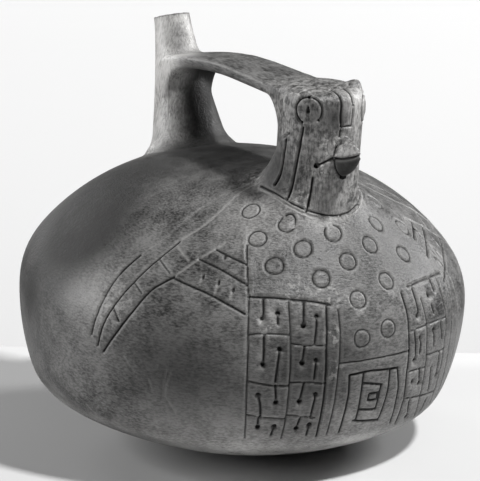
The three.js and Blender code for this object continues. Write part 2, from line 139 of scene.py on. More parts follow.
def raise_shoulder(form):
    for corner in form.data.vertices:
        if corner.co.z > 0:
            corner.co.z += swell(corner.co.x, corner.co.y)


pitcher = turned("pitcher", wall_levels(inset=0.0, rows=BODY_ROWS), sides=BODY_SIDES)
raise_shoulder(pitcher)

# The spout: a clay tube, rolled and pinched narrower towards the rim. It leans back, and its foot flares
# where it was smeared onto the shoulder.
SPOUT_LENGTH = 0.0524
SPOUT_LEAN = 20.0
SPOUT_FOOT = Vector((0.0, 0.0413, 0.0429))
SPOUT_RIM_RADIUS = 0.0069
SPOUT_WIDENING = 0.0083
SPOUT_FLARE, BORE_FLARE = 0.003, 0.002
FLARE_HEIGHT = 0.006
SPOUT_ROOT = (0.0182, -0.004)


def spout_radius(height, flare):
    taper = (1 - height / SPOUT_LENGTH) ** 1.3
    return SPOUT_RIM_RADIUS + SPOUT_WIDENING * taper + flare * max(0.0, 1 - height / FLARE_HEIGHT) ** 2


spout_heights = [0.0, 0.001, 0.002, 0.003, 0.004, 0.006, 0.01, 0.015, 0.02, 0.025, 0.03, 0.036, 0.042,
                 0.047]
spout_levels = [SPOUT_ROOT]
spout_levels += [(spout_radius(height, SPOUT_FLARE), height) for height in spout_heights]
spout_levels += [(0.0070, SPOUT_LENGTH), (0.0068, SPOUT_LENGTH + 0.003)]
spout = turned("spout", spout_levels, sides=64)
spout.rotation_euler.x = -math.radians(SPOUT_LEAN)
spout.location = SPOUT_FOOT
bpy.ops.object.transform_apply(location=True, rotation=True, scale=True)

# Head and neck: a second tube, closed on top, with a bird's face. Its foot is smeared onto the shoulder
# behind and at the sides, and stands clear in front, where the collar line runs.
HEAD_TOP = 0.0883
HEAD_EDGE = 0.0045
NECK_START, NECK_ROW = 0.030, 0.0015
NECK_FOOT_TOP, NECK_FOOT_SINK = 0.07, 0.0006


def on_head(angle, height):
    """A point on the outside of head and neck: angle from the beak towards +X in degrees, and height."""
    turn = math.radians(angle)
    near, far = NECK_RADIUS, NECK_RADIUS + HOLLOW_CURVE_SPREAD
    for _ in range(18):
        middle = (near + far) / 2
        if shoulder(middle * math.sin(turn), NECK_Y - middle * math.cos(turn)) > height:
            near = middle
        else:
            far = middle
    return Vector((near * math.sin(turn), NECK_Y - near * math.cos(turn), height))


neck_levels = [(NECK_RADIUS, NECK_START + NECK_ROW * row) for row in range(36)]
neck_levels += [(NECK_RADIUS - HEAD_EDGE * (1 - math.cos(math.radians(turn))),
                 HEAD_TOP - HEAD_EDGE * (1 - math.sin(math.radians(turn))))
                for turn in (0, 15, 30, 45, 60, 75, 90)]
neck_levels += [(0.006, HEAD_TOP + 0.0003), (0.001, HEAD_TOP + 0.0005)]
head = turned("head", neck_levels, sides=72)
for corner in head.data.vertices:
    if corner.co.z < NECK_FOOT_TOP and corner.co.xy.length > 0.01:
        angle = math.degrees(math.atan2(corner.co.x, -corner.co.y))
        place = on_head(angle, corner.co.z + NECK_FOOT_SINK)
        corner.co.x, corner.co.y = place.x, place.y - NECK_Y
head.location.y = NECK_Y
bpy.ops.object.transform_apply(location=True, rotation=True, scale=True)

# The beak: a small lump of clay luted to the face with slip, and pinched towards its tip.
# A ridge runs along it above the mouth.
BEAK_HEIGHT = 0.0657
BEAK_HALF_WIDTH, BEAK_REACH, BEAK_HALF_HEIGHT = 0.0044, 0.0102, 0.0074
BEAK_TIP_RISE = 0.0026
bpy.ops.object.select_all(action='DESELECT')
bpy.ops.mesh.primitive_uv_sphere_add(segments=40, ring_count=28, radius=1.0, location=(0, 0, 0))
beak = bpy.context.object
beak.name = "beak"
for corner in beak.data.vertices:
    forward = max(0.0, -corner.co.y)
    pinch = 1 - 0.45 * forward ** 2
    ridge = 1 - 0.4 * max(0.0, corner.co.z)
    tip_rise = BEAK_TIP_RISE * forward ** 2
    corner.co = Vector((BEAK_HALF_WIDTH * corner.co.x * pinch * ridge,
                        NECK_Y - NECK_RADIUS + BEAK_REACH * corner.co.y,
                        BEAK_HEIGHT + BEAK_HALF_HEIGHT * corner.co.z * pinch + tip_rise))

# A lump of clay on the edge of the head, above the bird's left eye, chipped and worn.
# Its twin on the right broke off and left a pale scar.
LUMP_TURN = math.radians(56)
LUMP_RADIUS, LUMP_REACH, LUMP_HEIGHT = 0.0036, 0.0112, 0.0878
bpy.ops.object.select_all(action='DESELECT')
bpy.ops.mesh.primitive_ico_sphere_add(subdivisions=4, radius=LUMP_RADIUS, location=(0, 0, 0))
lump = bpy.context.object
lump.name = "lump"
lump_place = Vector((LUMP_REACH * math.sin(LUMP_TURN), NECK_Y - LUMP_REACH * math.cos(LUMP_TURN),
                     LUMP_HEIGHT))
for corner in lump.data.vertices:
    chip = 1 + 0.28 * noise.noise(corner.co * 420) + 0.12 * noise.noise(corner.co * 1100)
    corner.co = corner.co * chip + lump_place

# The eyes: flat round pads on both sides of the face, pressed on before the rings were drawn.
# The bird's left eye sits a little lower than its right one.
EYE_ANGLE = 53.0
EYE_HEIGHTS = {-1: 0.0821, 1: 0.0808}
EYE_PAD_RADIUS, EYE_PAD_SET, EYE_PAD_BULGE = 0.0062, 0.0133, 0.0028


def eye_axes(side):
    """The directions outwards and sideways at the eye on one side of the face."""
    turn = math.radians(side * EYE_ANGLE)
    return Vector((math.sin(turn), -math.cos(turn), 0)), Vector((math.cos(turn), math.sin(turn), 0))


eyes = []
for side in (-1, 1):
    bpy.ops.object.select_all(action='DESELECT')
    bpy.ops.mesh.primitive_uv_sphere_add(segments=40, ring_count=24, radius=1.0, location=(0, 0, 0))
    eye = bpy.context.object
    outwards, sideways = eye_axes(side)
    for corner in eye.data.vertices:
        across, out, up = corner.co
        corner.co = (Vector((0, NECK_Y, EYE_HEIGHTS[side])) + outwards * (EYE_PAD_SET + EYE_PAD_BULGE * out)
                     + sideways * EYE_PAD_RADIUS * across + Vector((0, 0, EYE_PAD_RADIUS * up)))
    eyes.append(eye)

# The bridge: a flat strap of clay, bent from the spout over to the top of the head and smeared onto both.
# It is thick in the middle, thinner at its edges, and a little wider at both ends.
STRAP_SPOUT, STRAP_HEAD = 0.044, -0.0282
STRAP_OVERLAP = 0.005
STRAP_CREST, STRAP_FALL = 0.0862, 0.0060
STRAP_HALF_WIDTH, STRAP_THICKNESS = 0.0109, 0.0054
SPOUT_SMEAR, SPOUT_SMEAR_REACH = 0.009, 0.007
HEAD_SMEAR, HEAD_SMEAR_REACH = 0.002, 0.004
bpy.ops.object.select_all(action='DESELECT')
bpy.ops.mesh.primitive_cube_add(size=2.0, location=(0, 0, 0))
strap = bpy.context.object
strap.name = "strap"
bpy.ops.object.mode_set(mode='EDIT')
bpy.ops.mesh.select_all(action='SELECT')
bpy.ops.mesh.subdivide(number_cuts=39)
bpy.ops.object.mode_set(mode='OBJECT')


def strap_half_width(y):
    share = min(max((y - STRAP_HEAD) / (STRAP_SPOUT - STRAP_HEAD), 0), 1)
    return STRAP_HALF_WIDTH + 0.0005 * max(0.0, 2 * share - 1) ** 4 + 0.0011 * (1 - share) ** 2


for corner in strap.data.vertices:
    across, along, through = corner.co
    y = (STRAP_SPOUT + STRAP_HEAD) / 2 + along * ((STRAP_SPOUT - STRAP_HEAD) / 2 + STRAP_OVERLAP)
    crest = STRAP_CREST - STRAP_FALL * (max(0.0, y) / STRAP_SPOUT) ** 2
    spout_end = max(0.0, 1 - (STRAP_SPOUT - y) / SPOUT_SMEAR_REACH)
    head_end = max(0.0, 1 - (y - STRAP_HEAD) / HEAD_SMEAR_REACH)
    smear = SPOUT_SMEAR * spout_end ** 2 + HEAD_SMEAR * head_end ** 2
    thickness = STRAP_THICKNESS * math.sqrt(1 - 0.68 * across ** 8)
    depth = (1 - through) / 2 * (thickness + smear)
    corner.co = Vector((across * strap_half_width(y), y, crest - 0.0006 * across ** 2 - depth))

# Spout, head, lump and strap are worked into each other with wet clay, so their joints are soft.
# The beak was set on last, so a sharp crease runs around its root.
bpy.ops.object.select_all(action='DESELECT')
for piece in (spout, head, lump, strap, *eyes):
    piece.select_set(True)
bpy.context.view_layer.objects.active = head
bpy.ops.object.join()
top_work = bpy.context.object
top_work.name = "top_work"
top_work.data.remesh_voxel_size = 0.0010
bpy.ops.object.voxel_remesh()
soften = top_work.modifiers.new("soften", 'SMOOTH')
soften.factor = 0.5
soften.iterations = 3
bpy.ops.object.modifier_apply(modifier=soften.name)


def join_or_cut(piece, operation):
    """Joins a piece to the pitcher, or cuts it out, and takes the piece away."""
    step = pitcher.modifiers.new("step", 'BOOLEAN')
    step.operation = operation
    step.solver = 'MANIFOLD'
    step.object = piece
    bpy.ops.object.select_all(action='DESELECT')
    pitcher.select_set(True)
    bpy.context.view_layer.objects.active = pitcher
    bpy.ops.object.modifier_apply(modifier=step.name)
    bpy.data.objects.remove(piece)


join_or_cut(top_work, 'UNION')
join_or_cut(beak, 'UNION')

# The rim of the spout was pared flat with a blade, square to the spout's axis, while the clay was
# leather-hard.
PARING_RADIUS, PARING_DEPTH = 0.013, 0.006
spout_axis = Vector((0, math.sin(math.radians(SPOUT_LEAN)), math.cos(math.radians(SPOUT_LEAN))))
paring = turned("paring", [(PARING_RADIUS, 0.0), (PARING_RADIUS, PARING_DEPTH)], sides=24)
paring.rotation_euler.x = -math.radians(SPOUT_LEAN)
paring.location = SPOUT_FOOT + SPOUT_LENGTH * spout_axis
bpy.ops.object.transform_apply(location=True, rotation=True, scale=True)
join_or_cut(paring, 'DIFFERENCE')

# The inside: the body is hollow, with a wall of about 5 mm, and so is the head. The bore of the spout was
# pushed through with a stick into the body, and only the spout opens outwards.
BODY_WALL = 0.005
HEAD_BORE = 0.0105
BORE_LEAN = 18.9
BORE_ROOT = (0.0142, -0.011)
RIM_BORE = 0.0058
SPOUT_WALL, FOOT_WALL = 0.002, 0.001
hollow = turned("hollow", wall_levels(inset=BODY_WALL, rows=44), sides=56)
raise_shoulder(hollow)
join_or_cut(hollow, 'DIFFERENCE')
head_levels = [(HEAD_BORE, 0.033), (HEAD_BORE, 0.078), (0.009, 0.081), (0.006, 0.0828)]
head_hollow = turned("head_hollow", head_levels, sides=28)
head_hollow.location.y = NECK_Y
bpy.ops.object.transform_apply(location=True, rotation=True, scale=True)
join_or_cut(head_hollow, 'DIFFERENCE')
bore_levels = [BORE_ROOT]
for height in (0.0, 0.002, 0.006, 0.012, 0.02, 0.03, 0.04, 0.0515):
    radius = spout_radius(height, BORE_FLARE) - SPOUT_WALL - FOOT_WALL * (1 - height / SPOUT_LENGTH)
    bore_levels.append((radius, height))
bore_levels += [(RIM_BORE, SPOUT_LENGTH), (RIM_BORE + 0.0002, SPOUT_LENGTH + 0.0012)]
bore = turned("bore", [(radius, height - SPOUT_LENGTH) for radius, height in bore_levels], sides=48)
bore.rotation_euler.x = -math.radians(BORE_LEAN)
bore.location = SPOUT_FOOT + SPOUT_LENGTH * spout_axis
bpy.ops.object.transform_apply(location=True, rotation=True, scale=True)
join_or_cut(bore, 'DIFFERENCE')

# Where spout and neck meet the shoulder, the joint was rubbed smooth with a wet finger, all around
# the spout, and behind and beside the neck.
SPOUT_JOINT_INNER, SPOUT_JOINT_OUTER = 0.0145, 0.022
SPOUT_JOINT_LOW, SPOUT_JOINT_HIGH = -0.012, 0.007
NECK_JOINT_INNER, NECK_JOINT_OUTER = 0.017, 0.026
NECK_JOINT_LOW, NECK_JOINT_FRONT = 0.038, NECK_Y - 0.004
SKIN_DEPTH = 0.0025
for corner in pitcher.data.vertices:
    from_foot = corner.co - SPOUT_FOOT
    up_spout = from_foot.dot(spout_axis)
    from_axis = (from_foot - up_spout * spout_axis).length
    at_spout = (SPOUT_JOINT_INNER < from_axis < SPOUT_JOINT_OUTER
                and SPOUT_JOINT_LOW < up_spout < SPOUT_JOINT_HIGH)
    from_neck = math.hypot(corner.co.x, corner.co.y - NECK_Y)
    behind_neck = (NECK_JOINT_INNER < from_neck < NECK_JOINT_OUTER
                   and corner.co.z > NECK_JOINT_LOW and corner.co.y > NECK_JOINT_FRONT)
    outside = corner.co.z > shoulder_height(corner.co.xy.length) - SKIN_DEPTH
    corner.select = (at_spout or behind_neck) and outside
bpy.ops.object.mode_set(mode='EDIT')
bpy.ops.mesh.select_mode(type='VERT')
bpy.ops.mesh.vertices_smooth(factor=0.5, repeat=10)
bpy.ops.object.mode_set(mode='OBJECT')

# The decoration: lines, rings and dots pressed into the leather-hard clay with a blunt point before
# firing. A line is a row of stops: angle from the breast in degrees, distance up the wall from the belly
# in mm. Faint and shallow lines are only scratched, fine ones draw frames and rings, deep ones the rest.
# Some shallow lines are painted highlights on edges and lips.
LINE_STEP = 0.0006
TREMOR = 0.00016
faint_lines = []
shallow_lines = []
fine_lines = []
deep_lines = []
dots = []


def on_body(angle, rise):
    reach, height = wall(rise / 1000)
    x = reach * math.sin(math.radians(angle))
    y = -reach * math.cos(math.radians(angle))
    return Vector((x, y, height + swell(x, y) + neck_hollow_curve(x, y) if rise > 0 else height))


def on_face(angle, height):
    return on_head(angle, height / 1000)


def drawn(surface, stops):
    """A hand-drawn line through the stops: a smooth curve with a slight tremor."""
    line = []
    for i in range(len(stops) - 1):
        before = stops[max(i - 1, 0)]
        start, end = stops[i], stops[i + 1]
        after = stops[min(i + 2, len(stops) - 1)]
        steps = max(2, round((surface(*end) - surface(*start)).length / LINE_STEP))
        for step in range(steps + (i == len(stops) - 2)):
            t = step / steps
            angle, rise = (0.5 * (2 * q + (r - p) * t + (2 * p - 5 * q + 4 * r - s) * t * t
                                  + (3 * q - p - 3 * r + s) * t ** 3)
                           for p, q, r, s in zip(before, start, end, after))
            place = surface(angle, rise)
            line.append(place + TREMOR * noise.noise_vector(place * 210))
    return line


def ring(surface, angle, rise, radius):
    """A ring stamped with the end of a reed, never quite round."""
    mm_per_degree = (surface(angle + 0.5, rise) - surface(angle - 0.5, rise)).length * 1000
    mm_per_rise = (surface(angle, rise + 0.5) - surface(angle, rise - 0.5)).length * 1000
    stops = []
    for step in range(25):
        turn = math.radians(15 * step)
        wobble = radius * (1 + 0.05 * noise.noise(Vector((angle, rise, 2 * math.sin(turn)))))
        stops.append((angle + wobble * math.sin(turn) / mm_per_degree,
                      rise + wobble * math.cos(turn) / mm_per_rise))
    return drawn(surface, stops)


# Rings on the breast, in rows from the neck down to the panels.
RING_RADIUS = 3.3
for angle, rise in ((-32.9, 57.2), (-30.3, 45.0), (-19.6, 48.3), (-25.4, 34.1), (-15.9, 38.7), (-4.2, 41.8),
                    (-12.1, 27.8), (-2.2, 32.2), (8.6, 36.5), (17.2, 43.8), (29.9, 53.2), (-2.6, 19.2),
                    (8.7, 23.7), (21.5, 31.6), (32.8, 41.0), (-3.3, 5.5), (4.8, 7.4)):
    fine_lines.append(ring(on_body, angle, rise, RING_RADIUS))

# The wings: three long lines from the neck to the belly, ticks between the lower two, and three feathers.
wing_tops = (
    ((28.8, 70.5), (34.3, 70.3), (40.2, 66.9), (45.5, 59.5), (51.3, 50.2), (56.7, 41.9), (63.8, 25.8),
     (69.3, 6.9), (71.3, -4.4)),
    ((41.3, 43.8), (48.5, 35.7), (54.1, 27.2), (59.0, 20.7)), ((56.7, 39.6), (51.5, 34.6)),
)
wing_ends = (
    ((67.2, 32.9), (70.3, 23.7), (72.2, 8.7), (73.3, -1.0)),
    ((56.7, 41.9), (63.8, 25.8), (69.3, 6.9), (71.3, -4.4)),
    ((60.4, 33.0), (55.8, 28.4)), ((64.8, 21.8), (61.5, 18.6)), ((67.9, 10.6), (65.5, 6.7)),
)
feathers = (
    ((54.1, 27.2), (59.0, 20.7), (64.0, 7.1), (69.4, -6.0)),
    ((43.7, 40.7), (38.7, 38.0), (33.8, 35.2)), ((48.2, 35.8), (40.3, 32.0), (33.3, 27.1)),
    ((54.0, 26.6), (47.6, 24.2), (42.0, 21.6), (33.6, 16.0)),
)
feather_marks = (((45.9, 29.1), (46.3, 26.4)), ((41.2, 27.5), (41.9, 22.5)), ((37.0, 25.1), (37.5, 21.4)))
for side in (-1, 1):
    faint_lines.append(drawn(on_body, [(side * angle, rise) for angle, rise in (
        (33.1, 73.6), (45.6, 69.4), (55.2, 59.8), (61.7, 44.5), (67.2, 32.9), (70.3, 23.7))]))
    for lines, group in ((shallow_lines, wing_tops + feather_marks), (fine_lines, wing_ends),
                         (deep_lines, feathers)):
        for stops in group:
            lines.append(drawn(on_body, [(side * angle, rise) for angle, rise in stops]))
    for angle, rise in [stops[0] for stops in feather_marks] + [(40.5, 38.2)]:
        deep_lines.append(drawn(on_body, ((side * angle, rise + 0.3), (side * angle, rise - 0.9))))

# The panel on the bird's right: two columns of cells, a border on each side and a narrow strip.
for stops in (
    ((-33.9, 42.9), (-32.8, 21.3), (-32.6, 8.9), (-32.2, -8.9), (-31.9, -21.7), (-31.7, -33.0)),
    ((-22.2, 20.9), (-22.2, 10.7), (-22.1, -0.1), (-21.9, -9.3), (-21.8, -21.6), (-22.2, -33.0)),
    ((-9.1, 16.8), (-9.3, 9.7), (-9.6, -3.4), (-9.5, -12.9), (-9.5, -20.9), (-9.8, -32.5)),
    ((-32.3, 8.7), (-27.6, 9.1), (-22.4, 8.8)), ((-31.9, -8.6), (-26.9, -9.9), (-22.1, -10.4)),
    ((-31.6, -22.4), (-27.1, -23.4), (-22.0, -24.0)), ((-22.0, 5.6), (-18.2, 4.8), (-13.3, 4.4)),
    ((-21.7, -9.0), (-17.6, -9.1), (-12.9, -10.1)), ((-21.5, -22.3), (-18.4, -23.0), (-14.2, -24.0)),
):
    fine_lines.append(drawn(on_body, stops))
for stops in (
    ((-12.2, 17.9), (-12.8, 10.1), (-13.1, 2.3), (-12.8, -8.8), (-12.6, -18.6), (-12.6, -33.0)),
    ((-32.7, 22.5), (-26.9, 22.4), (-20.5, 21.4), (-15.7, 20.4), (-10.9, 18.6)),
    ((-28.9, 22.1), (-28.9, 15.1)), ((-25.2, 16.5), (-25.3, 12.8)), ((-28.7, 8.3), (-28.6, -1.8)),
    ((-24.8, 3.4), (-25.1, -2.3), (-25.4, -8.7)), ((-29.3, -14.4), (-28.6, -17.8), (-28.3, -23.1)),
    ((-25.3, -10.3), (-24.7, -16.8)), ((-28.8, -23.6), (-28.7, -27.8)), ((-24.5, -27.5), (-25.1, -31.5)),
    ((-18.2, 20.9), (-18.8, 12.1)), ((-15.1, 14.8), (-16.2, 5.3)), ((-18.7, 4.5), (-19.1, -1.6)),
    ((-15.6, -1.3), (-15.8, -8.2)), ((-18.3, -9.5), (-18.9, -16.7)), ((-14.9, -14.6), (-15.4, -23.6)),
    ((-18.1, -23.8), (-18.6, -28.5)), ((-15.3, -27.3), (-15.6, -32.0)),
):
    deep_lines.append(drawn(on_body, stops))
for angle, rise in ((-29.3, 14.6), (-25.2, 16.8), (-28.7, -2.4), (-24.8, 3.6), (-29.3, -14.1),
                    (-24.7, -17.4), (-28.7, -28.1), (-24.5, -27.5), (-18.9, 11.7), (-15.1, 15.2),
                    (-19.2, -2.0), (-15.6, -0.8), (-18.8, -17.2), (-14.9, -14.3), (-18.6, -28.9),
                    (-15.3, -27.3)):
    dots.append(on_body(angle, rise))

# The panel on the bird's left: the same scheme, drawn more loosely.
for stops in (
    ((15.4, 20.2), (24.6, 20.7), (34.3, 19.8)),
    ((18.9, 14.8), (18.9, 5.7), (19.1, -2.9), (20.1, -12.3), (21.2, -24.7), (23.1, -35.0)),
    ((30.1, 18.9), (28.8, 10.6), (28.9, 4.8), (28.5, -3.8), (28.8, -10.4), (29.4, -20.3), (31.0, -33.0)),
    ((36.0, 18.7), (33.8, 10.9), (32.4, 4.5), (32.1, -4.1), (32.6, -13.0), (33.9, -21.6), (35.4, -33.0)),
    ((12.1, 4.4), (18.8, 4.7)), ((13.0, -11.4), (20.1, -12.3)), ((13.6, -23.0), (21.4, -24.8)),
    ((18.8, 5.0), (28.7, 4.1)), ((19.4, -7.3), (29.2, -8.5)), ((21.4, -24.8), (29.8, -26.8)),
    ((40.5, 43.0), (38.4, 21.3), (37.0, 5.0), (37.6, -12.0), (39.5, -30.0)),
):
    fine_lines.append(drawn(on_body, stops))
for stops in (
    ((12.3, 18.8), (12.0, 8.4), (11.7, 4.2), (12.3, -8.8), (12.3, -12.4), (13.5, -22.8), (14.0, -34.5)),
    ((17.2, 19.3), (16.4, 9.7)), ((26.7, 19.9), (26.1, 15.2)), ((22.6, 11.2), (22.7, 8.0)),
    ((13.8, 3.6), (14.4, -1.3), (14.8, -6.8)), ((16.3, -0.5), (16.4, -5.5)), ((22.2, 1.0), (22.5, -4.5)),
    ((25.5, 3.2), (26.6, -3.5)), ((17.3, -11.8), (18.6, -17.8)), ((23.1, -13.5), (25.3, -24.5)),
    ((26.3, -8.5), (27.2, -17.9)), ((16.4, -24.8), (18.1, -32.4)), ((26.0, -28.3), (25.4, -33.5)),
):
    deep_lines.append(drawn(on_body, stops))
for angle, rise in ((15.8, 9.0), (23.0, 14.6), (14.6, -7.6), (16.3, 0.6), (22.2, 1.6), (15.6, -16.6),
                    (18.6, -18.5), (27.4, -18.7), (18.0, -32.9)):
    dots.append(on_body(angle, rise))

# The middle panel: a line across, and frames set inside each other like a spiral of squares.
fine_lines.append(drawn(on_body, ((-9.3, -2.8), (-2.0, -2.8), (11.8, -2.9))))
for stops in (
    ((-6.3, -7.8), (-0.7, -7.4), (8.5, -8.4)),
    ((-6.4, -8.0), (-5.9, -13.5), (-5.9, -21.6), (-6.2, -32.2)),
    ((8.5, -8.8), (10.1, -16.5), (10.7, -24.4), (11.3, -33.0)),
    ((-2.3, -8.3), (-2.2, -14.3), (-2.0, -21.8), (-2.0, -27.0)),
    ((5.9, -8.3), (6.4, -15.4), (6.3, -21.6), (5.8, -30.0)),
    ((-2.9, -27.5), (1.1, -28.6), (5.6, -29.5)), ((-1.8, -11.8), (4.0, -13.8)),
    ((3.8, -14.0), (3.7, -19.5), (3.6, -24.3)), ((-1.6, -23.0), (3.6, -24.0)),
    ((3.0, -16.9), (0.5, -16.6)), ((0.4, -16.6), (0.3, -19.5)),
    ((0.3, -19.5), (3.2, -19.8)), ((3.2, -19.8), (3.0, -17.0)),
):
    deep_lines.append(drawn(on_body, stops))

# The face and neck: ringed eyes with a drop-shaped pupil, a mouth with a punched corner, a band on the
# forehead, lines down the neck and the collar line. Heights are from the belly in mm.
EYE_RING_HALF_WIDTH, EYE_RING_HALF_HEIGHT = 0.0050, 0.0051


def on_eye(side, across, up):
    outwards, sideways = eye_axes(side)
    dome = math.sqrt(max(0.0, 1 - (across ** 2 + up ** 2) / EYE_PAD_RADIUS ** 2))
    bulge = EYE_PAD_SET + EYE_PAD_BULGE * dome
    level = math.sqrt(max(0.0, NECK_RADIUS ** 2 - across ** 2))
    return Vector((0, NECK_Y, EYE_HEIGHTS[side] + up)) + outwards * max(bulge, level) + sideways * across


def eye_ring(side):
    turns = [math.radians(12 * step) for step in range(31)]
    return [on_eye(side, EYE_RING_HALF_WIDTH * math.sin(turn), EYE_RING_HALF_HEIGHT * math.cos(turn))
            for turn in turns]


pupil = ((0.0, 0.0013), (-0.0003, 0.0003), (-0.0002, -0.0004), (0.0004, -0.0004), (0.0003, 0.0003))
for side in (-1, 1):
    deep_lines.append(eye_ring(side)[17:])
    fine_lines.append(eye_ring(side)[:12])
    # The lower part of each ring is a pale scratch: a painted highlight on the ring.
    shallow_lines.append(eye_ring(side)[11:18])
    deep_lines.append([on_eye(side, across, rise) for across, rise in pupil])
    deep_lines.append(drawn(on_face, ((side * 38, 62.0), (side * 27, 63.5), (side * 15, 65.2))))
    dots.append(on_face(side * 38, 62.0))
    deep_lines.append(drawn(on_face, ((side * 59, 75.4), (side * 65.5, 62), (side * 72.5, 48.6))))
    deep_lines.append(drawn(on_face, ((side * 87, 70.5), (side * 92, 60), (side * 95.5, 52.6))))
    deep_lines.append(drawn(on_face, ((side * 41, 57.5), (side * 46, 45))))
    fine_lines.append(drawn(on_face, ((side * 93, 70.0), (side * 82, 72.2))))
collar = ((38, 45.0), (64, 47.4), (90, 50.0), (114, 50.5))
collar = [(-angle, height) for angle, height in reversed(collar)] + [(0, 43.3)] + list(collar)
fine_lines.append(drawn(on_face, collar))
# Just below the collar, a pale scratch: a painted highlight on the collar's lower lip.
shallow_lines.append(drawn(on_face, [(angle, height - 1.2) for angle, height in collar]))
deep_lines.append(drawn(on_face, ((-7, 83.5), (-7.5, 80), (-6, 76.5))))
fine_lines.append(drawn(on_face, ((13, 83.5), (13, 80), (12.5, 76.5))))
fine_lines.append(drawn(on_face, ((-6.5, 75.8), (-7.5, 72.8))))
fine_lines.append(drawn(on_face, ((-10.5, 69.2), (-11, 66.3))))
fine_lines.append(drawn(on_face, ((-6, 76.5), (12.5, 76.3))))
over_the_top = ((0.0001, 0.0044), (0.0006, 0.0028), (0.0015, 0.0014), (0.003, 0.0004), (0.0045, 0.0),
                (0.006, -0.0003), (0.0075, -0.0003))
for turn in (-7, 13):
    across = math.sin(math.radians(turn)) * NECK_RADIUS
    deep_lines.append([Vector((across, NECK_Y - NECK_RADIUS + step, HEAD_TOP - rise))
                       for step, rise in over_the_top])

# The mouth runs from corner to corner around the beak, and a crease around the beak's root below it.
MOUTH_HEIGHT, MOUTH_REACH, MOUTH_RISE = 0.0655, 0.0100, 0.0028
mouth = []
for degrees in range(-90, 91, 10):
    turn = math.radians(degrees)
    forward = max(0.0, math.cos(turn))
    mouth.append(Vector((BEAK_HALF_WIDTH * math.sin(turn) * (1 - 0.2 * forward),
                         NECK_Y - NECK_RADIUS - MOUTH_REACH * forward,
                         MOUTH_HEIGHT + MOUTH_RISE * forward ** 2)))
deep_lines.append([on_face(-15, 65.2)] + mouth + [on_face(15, 65.2)])
deep_lines.append([Vector((BEAK_HALF_WIDTH * math.sin(math.radians(turn)), NECK_Y - NECK_RADIUS - 0.0004,
                           BEAK_HEIGHT - BEAK_HALF_HEIGHT * math.cos(math.radians(turn))))
                   for turn in range(-80, 81, 10)])

# The long edges of the bridge, rubbed pale by fingers and painted lighter as the highlight along each.
EDGE_START, EDGE_STOPS = 0.030, 86
EDGE_LEVEL, EDGE_FALL = 0.0852, 0.0028
for side in (-1, 1):
    edge = []
    for step in range(EDGE_STOPS):
        y = EDGE_START - LINE_STEP * step
        level = EDGE_LEVEL - EDGE_FALL * (max(0.0, y) / EDGE_START) ** 2
        edge.append(Vector((side * (strap_half_width(y) - 0.0001), y, level)))
    shallow_lines.append(edge)

# Scratches from use, low on the bird's right flank.
for stops in (
    ((-52.0, -7.2), (-52.5, -12.5), (-52.4, -17.9), (-49.9, -24.2)),
    ((-50.9, -8.2), (-51.9, -13.7), (-52.9, -19.4)), ((-63.5, -5.6), (-62.1, -8.3), (-60.5, -10.7)),
    ((-56.7, -12.4), (-55.7, -17.5)), ((-55.6, -21.2), (-52.9, -20.4)),
):
    faint_lines.append(drawn(on_body, stops))

# Every line is laid onto the clay as it really stands.
for line in faint_lines + shallow_lines + fine_lines + deep_lines + [dots]:
    for i, place in enumerate(line):
        line[i] = pitcher.closest_point_on_mesh(place)[1].copy()

# The clay is made finer along the lines, so that the point can sink in.
stops = [place for line in faint_lines + shallow_lines + fine_lines + deep_lines + [dots] for place in line]
near_lines = kdtree.KDTree(len(stops))
for i, place in enumerate(stops):
    near_lines.insert(place, i)
near_lines.balance()
for reach in (0.0020, 0.0012):
    bpy.ops.object.mode_set(mode='EDIT')
    bpy.ops.mesh.select_mode(type='FACE')
    bpy.ops.mesh.select_all(action='DESELECT')
    bpy.ops.object.mode_set(mode='OBJECT')
    for face in pitcher.data.polygons:
        face.select = near_lines.find(face.center)[2] < reach
    bpy.ops.object.mode_set(mode='EDIT')
    bpy.ops.mesh.subdivide(number_cuts=1, smoothness=0.0)
    bpy.ops.object.mode_set(mode='OBJECT')


def guide(name, lines):
    """The path of the point, as loose edges that the clay is pressed along."""
    mesh = bpy.data.meshes.new(name)
    places, edges = [], []
    for line in lines:
        edges += [(len(places) + i, len(places) + i + 1) for i in range(len(line) - 1)]
        places += line
    mesh.from_pydata(places, edges, [])
    path = bpy.data.objects.new(name, mesh)
    bpy.context.collection.objects.link(path)
    return path


def press(name, path, half_width, depth):
    """Presses the clay in along a path, or lifts it where depth is negative, and keeps the weights."""
    group = pitcher.vertex_groups.new(name=name)
    group.add(range(len(pitcher.data.vertices)), 1.0, 'REPLACE')
    near = pitcher.modifiers.new("near", 'VERTEX_WEIGHT_PROXIMITY')
    near.vertex_group = name
    near.target = path
    near.proximity_mode = 'GEOMETRY'
    near.proximity_geometry = {'EDGE'}
    near.min_dist = half_width
    near.max_dist = 0.0
    near.falloff_type = 'SMOOTH'
    sink = pitcher.modifiers.new("sink", 'DISPLACE')
    sink.vertex_group = name
    sink.mid_level = 0.0
    sink.strength = -depth
    for step in ("near", "sink"):
        bpy.ops.object.modifier_apply(modifier=step)


faint_path = guide("faint_path", faint_lines)
shallow_path = guide("shallow_path", shallow_lines)
fine_path = guide("fine_path", fine_lines)
deep_path = guide("deep_path", deep_lines)
dot_path = guide("dot_path", [[place, place + Vector((0, 0, 0.0002))] for place in dots])
bpy.ops.object.select_all(action='DESELECT')
pitcher.select_set(True)
bpy.context.view_layer.objects.active = pitcher
press("shallow_lip", shallow_path, half_width=0.0013, depth=-0.00016)
press("fine_lip", fine_path, half_width=0.0017, depth=-0.00026)
press("deep_lip", deep_path, half_width=0.0019, depth=-0.00030)
press("dot_lip", dot_path, half_width=0.0025, depth=-0.00028)
press("faint_groove", faint_path, half_width=0.00070, depth=0.00035)
press("shallow_groove", shallow_path, half_width=0.00085, depth=0.00045)
press("fine_groove", fine_path, half_width=0.00095, depth=0.00100)
press("deep_groove", deep_path, half_width=0.00110, depth=0.00130)
press("dot", dot_path, half_width=0.00190, depth=0.00190)
for path in (faint_path, shallow_path, fine_path, deep_path, dot_path):
    bpy.data.objects.remove(path)
